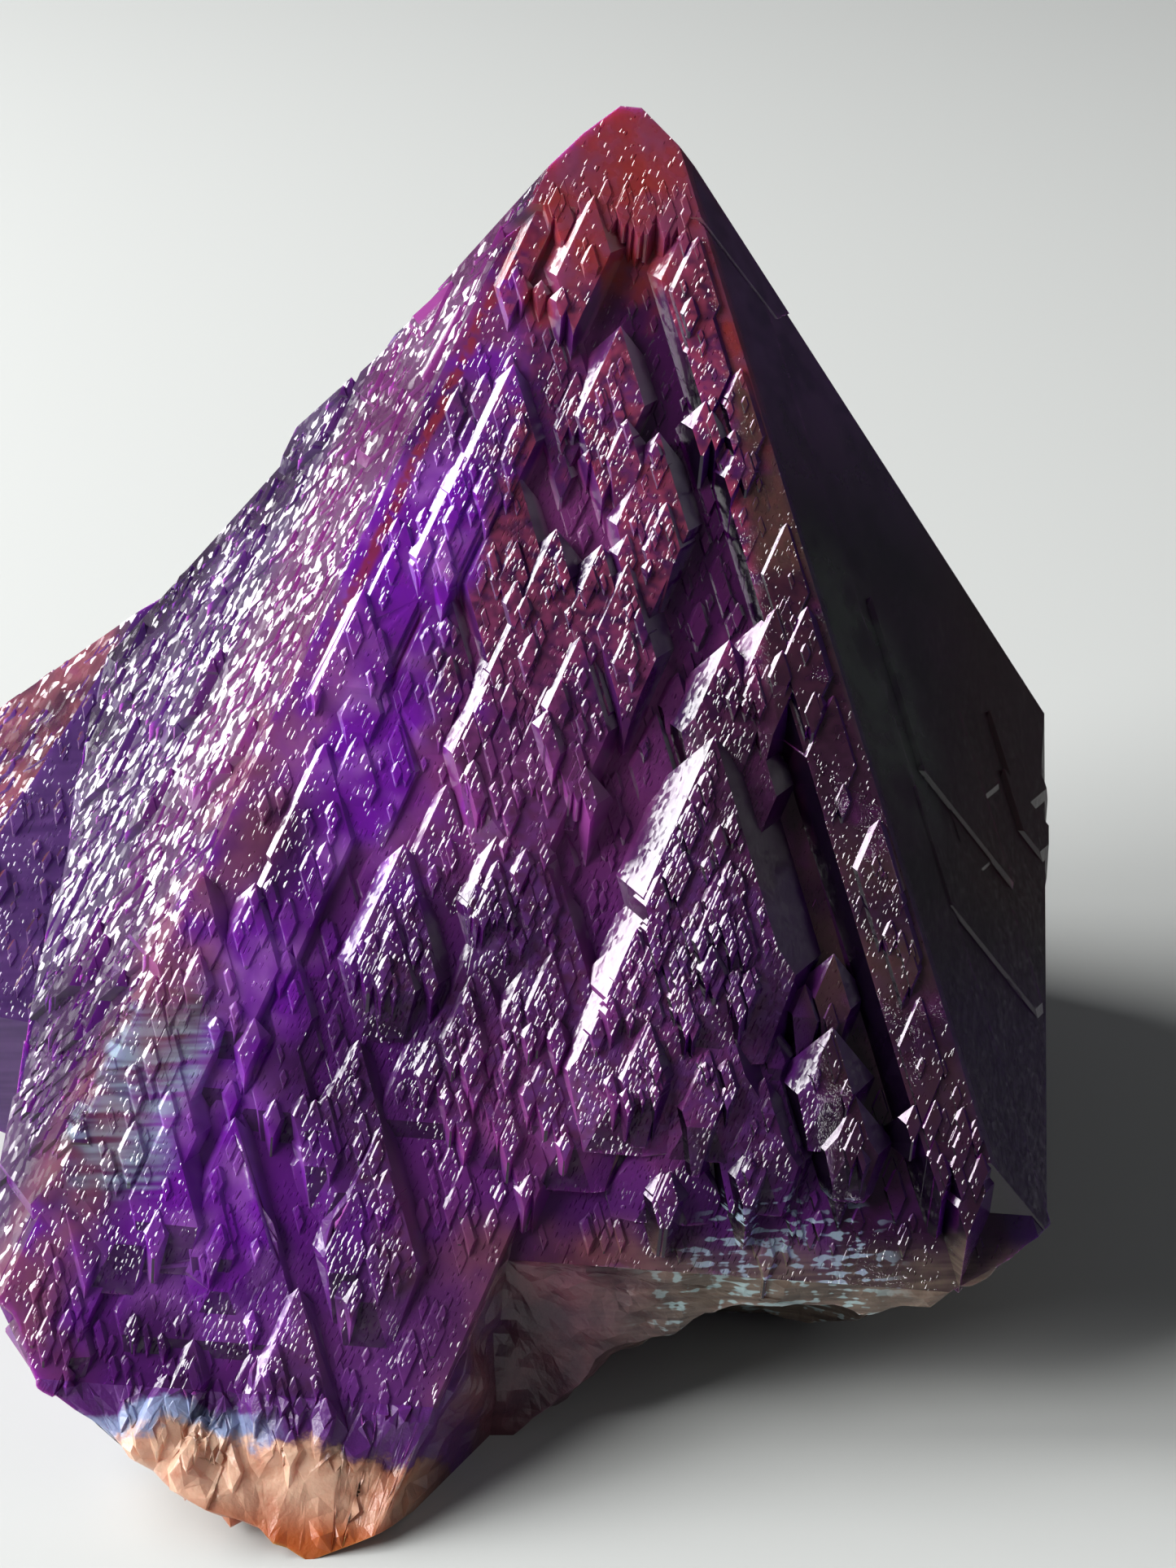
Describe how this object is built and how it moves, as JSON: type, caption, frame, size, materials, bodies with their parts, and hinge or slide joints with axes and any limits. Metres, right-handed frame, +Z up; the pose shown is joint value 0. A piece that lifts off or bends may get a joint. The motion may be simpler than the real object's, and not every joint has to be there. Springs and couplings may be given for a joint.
{
  "type": "elestial amethyst crystal",
  "caption": "Natural amethyst point grown as overlapping parallel crystals, with stepped ledges on its faces, a companion point at its side and a broken root it rests on.",
  "frame": {"origin": "centre of the bounding box at the flat that the stone rests on", "axes": "+Z up, close to the long axis of the main point; -Y towards the large stepped front face; the companion point is on the -X side"},
  "size_m": [0.0712, 0.07, 0.0624],
  "materials": {
    "amethyst": "translucent violet crystal with red-brown staining and glossy facets"
  },
  "bodies": {
    "root": {"elestial_amethyst": "amethyst"}
  },
  "joints": []
}
